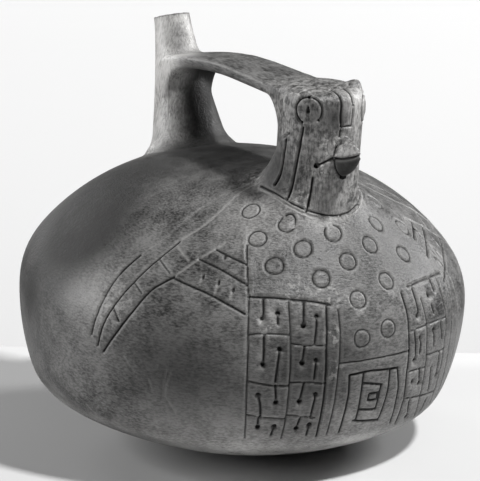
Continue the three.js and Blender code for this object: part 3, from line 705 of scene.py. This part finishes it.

# Soot, shade, wear and light: how smoky the fire left each place, with painted shade where shadow falls,
# where the clay is pale, with painted light where light falls, where white earth still clings, and how
# weathered it is, most on head and neck. Each is painted in soft patches, given as centre, reach and
# strength, and kept on the mesh for the finish.
# Soot, and painted shade. The first patch darkens the crown.
soot_and_shade_patches = (
    (Vector((0.0, 0.004, 0.052)), 0.042, 0.8), (Vector((-0.030, 0.028, 0.046)), 0.036, 0.35),
    (Vector((-0.058, 0.026, 0.032)), 0.050, 0.9), (Vector((-0.076, -0.012, 0.016)), 0.030, 0.3),
    (Vector((-0.067, 0.004, 0.029)), 0.029, 0.6), (Vector((-0.080, 0.020, -0.010)), 0.034, 0.4),
    (Vector((-0.083, 0.017, 0.0)), 0.014, 0.5), (Vector((-0.066, -0.050, 0.0)), 0.030, 0.35),
    # Painted shadow of the strap on the spout's front, with soot: the two patches here and the first on the
    # next line.
    (Vector((0.009, 0.034, 0.070)), 0.019, 1.7), (Vector((0.013, 0.040, 0.060)), 0.015, 1.0),
    (Vector((0.006, 0.036, 0.056)), 0.018, 1.0), (Vector((-0.020, -0.082, 0.000)), 0.024, 0.6),
    (Vector((-0.030, -0.076, -0.020)), 0.028, 0.4), (Vector((-0.058, -0.052, -0.022)), 0.034, 0.5),
    (Vector((-0.015, -0.039, 0.057)), 0.016, 1.0), (Vector((-0.004, -0.058, 0.080)), 0.008, 0.9),
    (Vector((-0.010, -0.052, 0.082)), 0.006, 0.5), (Vector((0.017, -0.069, 0.028)), 0.024, 0.3),
    (Vector((0.05, 0.05, 0.03)), 0.04, 0.5), (Vector((0.02, 0.08, -0.02)), 0.04, 0.6),
    (Vector((-0.0035, 0.0500, 0.086)), 0.0075, 0.5), (Vector((-0.0030, 0.0465, 0.079)), 0.0065, 0.5),
)
# Pale clay, and painted light.
pale_and_lit_patches = (
    # Pale clay on the spout's left, with a painted highlight along it.
    (Vector((-0.013, 0.060, 0.088)), 0.034, 1.4), (Vector((-0.017, 0.050, 0.060)), 0.027, 1.8),
    (Vector((0.004, 0.042, 0.044)), 0.024, 0.9), (Vector((0.006, -0.056, 0.082)), 0.009, 0.9),
    (Vector((0.0, -0.054, 0.066)), 0.020, 0.2), (Vector((-0.027, -0.045, 0.041)), 0.022, 0.3),
    # Painted light thrown up from the board: the first patch here and the first on the next line, low on the
    # front.
    (Vector((-0.02, -0.062, -0.046)), 0.045, 0.7), (Vector((-0.006, -0.057, 0.047)), 0.012, 0.4),
    # The second patch here is a painted highlight on the left belly.
    (Vector((-0.05, -0.05, -0.040)), 0.035, 0.7), (Vector((-0.079, -0.022, 0.012)), 0.020, 0.35),
    # The second patch here paints light on the right flank.
    (Vector((0.010, -0.080, -0.020)), 0.030, 0.15), (Vector((0.072, -0.046, -0.010)), 0.034, 0.2),
)
earth_patches = (
    (Vector((0.0, -0.064, 0.073)), 0.007, 0.8), (Vector((-0.008, -0.057, 0.062)), 0.006, 0.7),
    (Vector((-0.005, -0.058, 0.0695)), 0.006, 1.0), (Vector((0.006, -0.058, 0.052)), 0.012, 0.35),
    (Vector((-0.012, -0.053, 0.050)), 0.007, 0.7), (Vector((-0.0115, -0.047, 0.088)), 0.006, 0.7),
    (Vector((0.0095, -0.050, 0.0885)), 0.005, 1.0), (Vector((-0.016, -0.028, 0.050)), 0.008, 0.5),
    (Vector((-0.013, -0.040, 0.083)), 0.007, 0.4), (Vector((-0.078, -0.030, 0.012)), 0.014, 0.3),
    (on_body(-20, 25), 0.009, 0.4), (on_body(-11, 21), 0.008, 0.5), (on_body(-28, 13), 0.007, 0.35),
    (on_body(-11, 8), 0.006, 0.4), (on_body(-11, -5), 0.006, 0.3), (on_body(-3, 19), 0.006, 0.4),
)
weather_patches = ((Vector((0.0, NECK_Y, 0.066)), 0.036, 1.8),)


def patched(place, patches):
    return min(1.0, sum(strength * max(0.0, 1 - ((place - centre).length / reach) ** 2) ** 1.5
                        for centre, reach, strength in patches))


BRIDGE_UNDERSIDE, BRIDGE_FRONT, BRIDGE_BACK = 0.074, -0.026, 0.040
STROKE_SQUEEZE, ROUND_SQUEEZE = 0.2, 0.4


def burnish_place(place):
    """Where the burnishing strokes see a point: drawn out around the body, up the necks, along the strap."""
    if place.z > BRIDGE_UNDERSIDE and BRIDGE_FRONT < place.y < BRIDGE_BACK:
        return place.x, place.y * STROKE_SQUEEZE, place.z
    if place.z > shoulder(place.x, place.y) + 0.001:
        return place.x, place.y, place.z * STROKE_SQUEEZE
    reach = max(place.xy.length, 0.0001)
    around = place.xy * ROUND_SQUEEZE * BELLY_RADIUS / reach
    return around.x, around.y, BELLY_RADIUS * math.atan2(place.z, reach)


TURN_LEVEL = wall(-0.0375)[1]
TURN_REACH = 0.0025
RIM_DEPTH, RIM_SMOKE = 0.0007, 0.6
BEAK_ROOT = 0.056
GLINT_STEP = 0.0006
near_dots = kdtree.KDTree(len(dots))
for i, place in enumerate(dots):
    near_dots.insert(place, i)
near_dots.balance()
group_names = {group.index: group.name for group in pitcher.vertex_groups}
painted = {name: [] for name in ("groove", "lip", "scratch_and_glint", "soot_and_shade", "pale_and_lit", "earth", "weather")}
strokes = []
for corner in pitcher.data.vertices:
    weights = {group_names[entry.group]: entry.weight for entry in corner.groups}
    sunk = max(weights.get("fine_groove", 0) * 0.92, weights.get("deep_groove", 0) * 1.1,
               weights.get("dot", 0))
    raised = max(weights.get("fine_lip", 0), weights.get("deep_lip", 0), weights.get("dot_lip", 0))
    painted["groove"].append(sunk)
    painted["lip"].append(max(0.0, raised - sunk))
    # Below each dot the lower rim is painted bright: a painted glint.
    below_dot = near_dots.find(corner.co)[0].z - corner.co.z
    dot_glint = weights.get("dot_lip", 0) * min(1.0, max(0.0, below_dot / GLINT_STEP - 1.2))
    scratches_and_highlights = max(weights.get("shallow_groove", 0), weights.get("faint_groove", 0) * 0.3)
    painted["scratch_and_glint"].append(max(scratches_and_highlights, dot_glint * 2))
    # Under the beak the clay is painted fully dark: painted shade.
    forward = (NECK_Y - NECK_RADIUS - corner.co.y) / BEAK_REACH
    shaded_under_beak = forward > 0.03 and BEAK_ROOT < corner.co.z < MOUTH_HEIGHT + MOUTH_RISE * forward ** 2
    on_rim = (corner.co - SPOUT_FOOT).dot(spout_axis) > SPOUT_LENGTH - RIM_DEPTH
    soot_and_shade = max(RIM_SMOKE * on_rim, patched(corner.co, soot_and_shade_patches))
    painted["soot_and_shade"].append(1.0 if shaded_under_beak else soot_and_shade)
    # A pale band along the turn below the panels: painted light from the board.
    on_turn = max(0.0, 1 - abs(corner.co.z - TURN_LEVEL) / TURN_REACH)
    painted["pale_and_lit"].append(min(1.0, patched(corner.co, pale_and_lit_patches) + 0.25 * on_turn))
    painted["earth"].append(patched(corner.co, earth_patches))
    painted["weather"].append(patched(corner.co, weather_patches))
    strokes += burnish_place(corner.co)
for name, values in painted.items():
    layer = pitcher.data.attributes.new(name, 'FLOAT', 'POINT')
    layer.data.foreach_set("value", values)
pitcher.data.attributes.new("strokes", 'FLOAT_VECTOR', 'POINT').data.foreach_set("vector", strokes)
pitcher.vertex_groups.clear()

# The finished vessel leans forward a little and rests on a worn flat spot under its round base.
# Specks of clay left by the joining are merged away first.
FORWARD_LEAN = 4.3
BELLY_HEIGHT = 0.057805
SPECK = 0.00001
pitcher.rotation_euler.x = math.radians(FORWARD_LEAN)
pitcher.location = (0.0, 0.0, BELLY_HEIGHT)
bpy.ops.object.transform_apply(location=True, rotation=True, scale=True)
bpy.ops.object.mode_set(mode='EDIT')
bpy.ops.mesh.select_all(action='SELECT')
bpy.ops.mesh.remove_doubles(threshold=SPECK)
bpy.ops.mesh.dissolve_degenerate(threshold=SPECK)
bpy.ops.mesh.bisect(plane_co=(0, 0, 0), plane_no=(0, 0, 1), use_fill=True, clear_inner=True,
                    threshold=0.1 * SPECK)
bpy.ops.object.mode_set(mode='OBJECT')
bpy.ops.object.shade_smooth_by_angle(angle=math.radians(48))

# The finish: clay blackened in a smoky fire and rubbed to a dull shine before it. It is mottled by the
# fire, with fine rubbing strokes and pits, pale lips along the lines, rubbed and with painted highlight,
# and the lines painted near black, dirt in them and painted shade.
DARK_CLAY, GREY_CLAY = (0.022, 0.0217, 0.0213, 1), (0.166, 0.164, 0.161, 1)
DARK_PITS, WEATHERED_CLAY = (0.032, 0.0315, 0.031, 1), (0.285, 0.281, 0.275, 1)
PALE_AND_LIT_CLAY, PALEST_AND_LIT_CLAY = (0.26, 0.255, 0.249, 1), (0.62, 0.612, 0.60, 1)
SOOT_AND_SHADE = (0.013, 0.0128, 0.0125, 1)
RUBBED_AND_LIT_LIP, SCRATCH_AND_GLINT_CLAY = (0.42, 0.415, 0.405, 1), (0.36, 0.355, 0.345, 1)
WHITE_EARTH = (0.56, 0.553, 0.54, 1)
GROOVE_DIRT_AND_SHADE = (0.004, 0.0039, 0.0038, 1)
clay = bpy.data.materials.new("smoked_clay")
clay.use_nodes = True
nodes, links = clay.node_tree.nodes, clay.node_tree.links
shader = nodes["Principled BSDF"]
place = nodes.new('ShaderNodeTexCoord')


def grain(scale, detail, where=None):
    """A noise over the clay, in features per metre."""
    texture = nodes.new('ShaderNodeTexNoise')
    texture.inputs["Scale"].default_value = scale
    texture.inputs["Detail"].default_value = detail
    texture.inputs["Roughness"].default_value = 0.6
    links.new(where or place.outputs["Object"], texture.inputs["Vector"])
    return texture.outputs["Fac"]


def between(value, low, high, to_low=0.0, to_high=1.0):
    ramp = nodes.new('ShaderNodeMapRange')
    ramp.inputs["From Min"].default_value = low
    ramp.inputs["From Max"].default_value = high
    ramp.inputs["To Min"].default_value = to_low
    ramp.inputs["To Max"].default_value = to_high
    links.new(value, ramp.inputs["Value"])
    return ramp.outputs["Result"]


def sums(operation, first, second):
    step = nodes.new('ShaderNodeMath')
    step.operation = operation
    for socket, value in zip(step.inputs, (first, second)):
        if isinstance(value, (int, float)):
            socket.default_value = value
        else:
            links.new(value, socket)
    return step.outputs["Value"]


def painted_layer(name):
    layer = nodes.new('ShaderNodeAttribute')
    layer.attribute_name = name
    return layer.outputs["Fac"]


def mixed(share, first, second):
    mix = nodes.new('ShaderNodeMix')
    mix.data_type = 'RGBA'
    links.new(share, mix.inputs["Factor"])
    for socket, value in ((mix.inputs["A"], first), (mix.inputs["B"], second)):
        if isinstance(value, tuple):
            socket.default_value = value
        else:
            links.new(value, socket)
    return mix.outputs["Result"]


def three_grains(broad, middle, fine):
    """Broad, middle and fine grain in one, spread over the full range."""
    total = sums('ADD', sums('MULTIPLY', broad, 0.28), sums('MULTIPLY', middle, 0.30))
    return between(sums('ADD', total, sums('MULTIPLY', fine, 0.42)), 0.20, 0.80)


stroke_places = nodes.new('ShaderNodeAttribute')
stroke_places.attribute_name = "strokes"
clouds = between(grain(24, 3), 0.36, 0.64)
mottle = between(grain(130, 4), 0.36, 0.64)
rubbing = between(grain(1500, 3, stroke_places.outputs["Vector"]), 0.36, 0.64)
speckle = between(grain(520, 4), 0.38, 0.62)
fired = three_grains(clouds, mottle, rubbing)
pitted = three_grains(mottle, rubbing, speckle)
tone = mixed(fired, DARK_CLAY, GREY_CLAY)
tone = mixed(painted_layer("weather"), tone, mixed(pitted, DARK_PITS, WEATHERED_CLAY))
# Pale clay, and painted light: from the board low on the front, highlights on the left belly and the spout,
# the lit right flank.
tone = mixed(painted_layer("pale_and_lit"), tone, mixed(fired, PALE_AND_LIT_CLAY, PALEST_AND_LIT_CLAY))
# Soot, and painted shade: the strap's shadow on the spout's front and the shade under the beak.
tone = mixed(sums('MULTIPLY', painted_layer("soot_and_shade"), 0.92), tone, SOOT_AND_SHADE)
# Pale lips along the lines: rubbed clay, and a painted highlight on the raised lips.
tone = mixed(sums('MULTIPLY', painted_layer("lip"), 0.30), tone, RUBBED_AND_LIT_LIP)
# Scratches painted pale, and painted glints: on the dots' lower rims, the bridge's edges, the collar's lower
# lip and the eye rings' lower parts.
tone = mixed(sums('MULTIPLY', painted_layer("scratch_and_glint"), 0.5), tone, SCRATCH_AND_GLINT_CLAY)
white_earth = sums('MULTIPLY', painted_layer("earth"), between(grain(460, 5), 0.52, 0.60))
tone = mixed(white_earth, tone, WHITE_EARTH)
# The grooves painted near black: dirt in them, and painted shade in the recess.
dirt_and_shade = between(painted_layer("groove"), 0.34, 0.72, 0.0, 0.96)
colour = mixed(dirt_and_shade, tone, GROOVE_DIRT_AND_SHADE)
links.new(colour, shader.inputs["Base Color"])
shader.inputs["Specular IOR Level"].default_value = 0.36

dullness = 0.34
for layer, weight in ((mottle, 0.10), (rubbing, 0.12), (painted_layer("soot_and_shade"), 0.2),
                      (painted_layer("pale_and_lit"), -0.14), (white_earth, 0.3), (dirt_and_shade, 0.3)):
    dullness = sums('ADD', dullness, sums('MULTIPLY', layer, weight))
links.new(dullness, shader.inputs["Roughness"])

grit = nodes.new('ShaderNodeBump')
grit.inputs["Strength"].default_value = 0.35
grit.inputs["Distance"].default_value = 0.0004
height = sums('ADD', sums('MULTIPLY', speckle, 0.4), sums('MULTIPLY', rubbing, 0.4))
height = sums('ADD', height, sums('MULTIPLY', between(grain(330, 3), 0.24, 0.36), 0.8))
links.new(height, grit.inputs["Height"])
links.new(grit.outputs["Normal"], shader.inputs["Normal"])
pitcher.data.materials.clear()
pitcher.data.materials.append(clay)
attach(pitcher, "root")
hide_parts("bowl", "shoulder", "spout_and_head")

# The table: a pale board with a plain white card standing behind it, as for a catalogue photograph.
# The card is only a backdrop and throws no light back onto the clay.
FLOOR_CORNERS = ((-1.5, -2.2), (1.5, -2.2), (-1.5, 0.110), (1.5, 0.110))
CARD_CORNERS = ((-1.8, -1.2), (1.8, -1.2), (-1.8, 1.8), (1.8, 1.8))
CARD_AWAY = 0.9
bpy.ops.object.select_all(action='DESELECT')
bpy.ops.mesh.primitive_plane_add(size=1.0, location=(0, 0, 0))
floor = bpy.context.object
floor.name = "floor"
view_right = Vector((0.8299, -0.5579, 0.0))
view_away = Vector((0.5579, 0.8299, 0.0))
for corner, (across, away) in zip(floor.data.vertices, FLOOR_CORNERS):
    corner.co = across * view_right + away * view_away
bpy.ops.mesh.primitive_plane_add(size=1.0, location=(0, 0, 0))
card = bpy.context.object
card.name = "card"
for corner, (across, up) in zip(card.data.vertices, CARD_CORNERS):
    corner.co = across * view_right + CARD_AWAY * view_away + Vector((0, 0, up))
for sheet, shade in ((floor, 0.59), (card, 0.86)):
    paper = bpy.data.materials.new(sheet.name + "_paper")
    paper.use_nodes = True
    paper.node_tree.nodes["Principled BSDF"].inputs["Base Color"].default_value = (shade, shade, shade, 1)
    paper.node_tree.nodes["Principled BSDF"].inputs["Roughness"].default_value = 0.8
    sheet.data.materials.append(paper)
card.visible_glossy = False
card.visible_diffuse = False

# Light and camera: one lamp high on the right, a tall weak one on the left, two behind, and one below the
# board for the card. The room is almost dark, and only the camera sees it as a pale surround.
ROOM_GLOW, SURROUND_GLOW = 0.04, 0.85
aim = Vector((0.0, 0.0, 0.06))


def lamp(name, across, away, up, size, watts):
    light = bpy.data.lights.new(name, 'AREA')
    light.shape = 'RECTANGLE'
    light.size, light.size_y = size
    light.energy = watts
    stand = bpy.data.objects.new(name, light)
    stand.location = across * view_right + away * view_away + Vector((0, 0, up))
    stand.rotation_euler = (aim - stand.location).to_track_quat('-Z', 'Y').to_euler()
    bpy.context.collection.objects.link(stand)
    return stand


lamp("key", across=0.60, away=-0.34, up=1.24, size=(0.12, 0.12), watts=22.5)
lamp("side", across=-0.95, away=0.02, up=0.36, size=(0.12, 0.60), watts=7.5)
lamp("edge", across=0.82, away=0.46, up=0.50, size=(0.20, 0.30), watts=7.0)
lamp("rim", across=-0.60, away=0.80, up=0.40, size=(0.30, 0.40), watts=2.0)
back = lamp("back", across=0.0, away=0.25, up=-0.30, size=(1.6, 0.3), watts=2.9)
to_card = CARD_AWAY * view_away + Vector((0, 0, 0.15)) - back.location
back.rotation_euler = to_card.to_track_quat('-Z', 'Y').to_euler()
world = bpy.data.worlds.new("room")
world.use_nodes = True
world.node_tree.nodes["Background"].inputs["Color"].default_value = (1, 1, 1, 1)
sight_line = world.node_tree.nodes.new('ShaderNodeLightPath')
glow = world.node_tree.nodes.new('ShaderNodeMapRange')
glow.inputs["To Min"].default_value = ROOM_GLOW
glow.inputs["To Max"].default_value = SURROUND_GLOW
world.node_tree.links.new(sight_line.outputs["Is Camera Ray"], glow.inputs["Value"])
world.node_tree.links.new(glow.outputs["Result"], world.node_tree.nodes["Background"].inputs["Strength"])
bpy.context.scene.world = world
bpy.context.scene.view_settings.view_transform = 'Standard'

CAMERA_PLACE = Vector((-0.5509, -0.8195, 0.3135))
CAMERA_AIM = Vector((0.0013, 0.0041, 0.0736))
CAMERA_TILT = 0.8
lens = bpy.data.cameras.new("camera")
lens.sensor_width = 36.0
lens.lens = 200.1
lens.clip_start = 0.05
camera = bpy.data.objects.new("camera", lens)
camera.location = CAMERA_PLACE
sight = CAMERA_AIM - CAMERA_PLACE
tilt = Quaternion((0, 0, 1), math.radians(CAMERA_TILT))
camera.rotation_euler = (sight.to_track_quat('-Z', 'Y') @ tilt).to_euler()
bpy.context.collection.objects.link(camera)
bpy.context.scene.camera = camera
